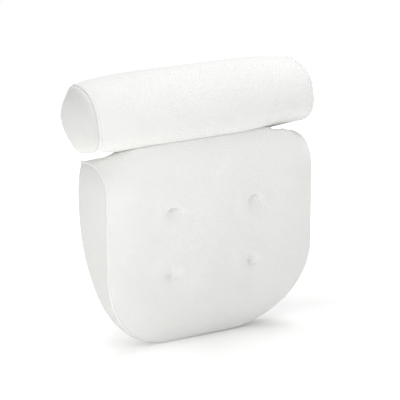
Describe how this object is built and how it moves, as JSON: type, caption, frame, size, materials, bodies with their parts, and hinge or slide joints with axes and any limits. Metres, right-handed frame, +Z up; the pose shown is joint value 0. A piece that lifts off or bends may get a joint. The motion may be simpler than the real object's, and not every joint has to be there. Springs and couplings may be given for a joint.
{
  "type": "bath pillow",
  "caption": "Tufted bathtub pillow: a rounded back pad that stands on its lower edge, with a neck roll hinged along its top and suction cups behind both.",
  "frame": {"origin": "middle of the flat patch of the lower edge, on which the pad stands", "axes": "+Z up, front of the pillow towards -Y, +X to the right of someone who looks at the front"},
  "size_m": [0.376, 0.14, 0.3792],
  "materials": {
    "air_mesh": "matt white spacer mesh with a fine diagonal knit",
    "plain_cloth": "matt white plain weave",
    "piping": "matt white bias tape over a cord",
    "fibre_fill": "loose white polyester fibre",
    "tuft_thread": "twisted white thread",
    "clear_vinyl": "clear soft vinyl",
    "white_plastic": "smooth white plastic"
  },
  "bodies": {
    "pad": {"pad_front_cover": "air_mesh", "pad_gusset": "plain_cloth", "pad_back_panel": "plain_cloth", "pad_front_piping": "piping", "pad_fill": "fibre_fill", "pad_eyelet_1": "white_plastic", "pad_eyelet_2": "white_plastic", "pad_eyelet_3": "white_plastic", "pad_eyelet_4": "white_plastic", "tuft_thread_1": "tuft_thread", "tuft_thread_2": "tuft_thread", "tuft_thread_3": "tuft_thread", "tuft_thread_4": "tuft_thread", "hinge_strip": "air_mesh"},
    "neck_roll": {"roll_front_cover": "air_mesh", "roll_back_panel": "plain_cloth", "roll_left_end": "plain_cloth", "roll_right_end": "plain_cloth", "roll_left_piping": "piping", "roll_right_piping": "piping", "roll_fill": "fibre_fill", "roll_eyelet_1": "white_plastic", "roll_eyelet_2": "white_plastic"},
    "pad_cup_1": {"pad_suction_cup_1": "clear_vinyl"},
    "pad_cup_2": {"pad_suction_cup_2": "clear_vinyl"},
    "pad_cup_3": {"pad_suction_cup_3": "clear_vinyl"},
    "pad_cup_4": {"pad_suction_cup_4": "clear_vinyl"},
    "roll_cup_1": {"roll_suction_cup_1": "clear_vinyl"},
    "roll_cup_2": {"roll_suction_cup_2": "clear_vinyl"}
  },
  "joints": [
    {"name": "neck_fold", "type": "hinge", "parent": "pad", "child": "neck_roll", "pos_m": [0, 0.01375, 0.27281], "axis": [-1, 0, 0], "range_deg": [0, 90], "deforming": ["hinge_strip"]},
    {"name": "pad_cup_1_press", "type": "slide", "parent": "pad", "child": "pad_cup_1", "axis": [0, -1, 0], "range_m": [0, 0.003], "stiffness_N_per_m": 400},
    {"name": "pad_cup_2_press", "type": "slide", "parent": "pad", "child": "pad_cup_2", "axis": [0, -1, 0], "range_m": [0, 0.003], "stiffness_N_per_m": 400},
    {"name": "pad_cup_3_press", "type": "slide", "parent": "pad", "child": "pad_cup_3", "axis": [0, -1, 0], "range_m": [0, 0.003], "stiffness_N_per_m": 400},
    {"name": "pad_cup_4_press", "type": "slide", "parent": "pad", "child": "pad_cup_4", "axis": [0, -1, 0], "range_m": [0, 0.003], "stiffness_N_per_m": 400},
    {"name": "roll_cup_1_press", "type": "slide", "parent": "neck_roll", "child": "roll_cup_1", "axis": [0, -0.9851, 0.1719], "range_m": [0, 0.003], "stiffness_N_per_m": 400},
    {"name": "roll_cup_2_press", "type": "slide", "parent": "neck_roll", "child": "roll_cup_2", "axis": [0, -0.9851, 0.1719], "range_m": [0, 0.003], "stiffness_N_per_m": 400}
  ]
}
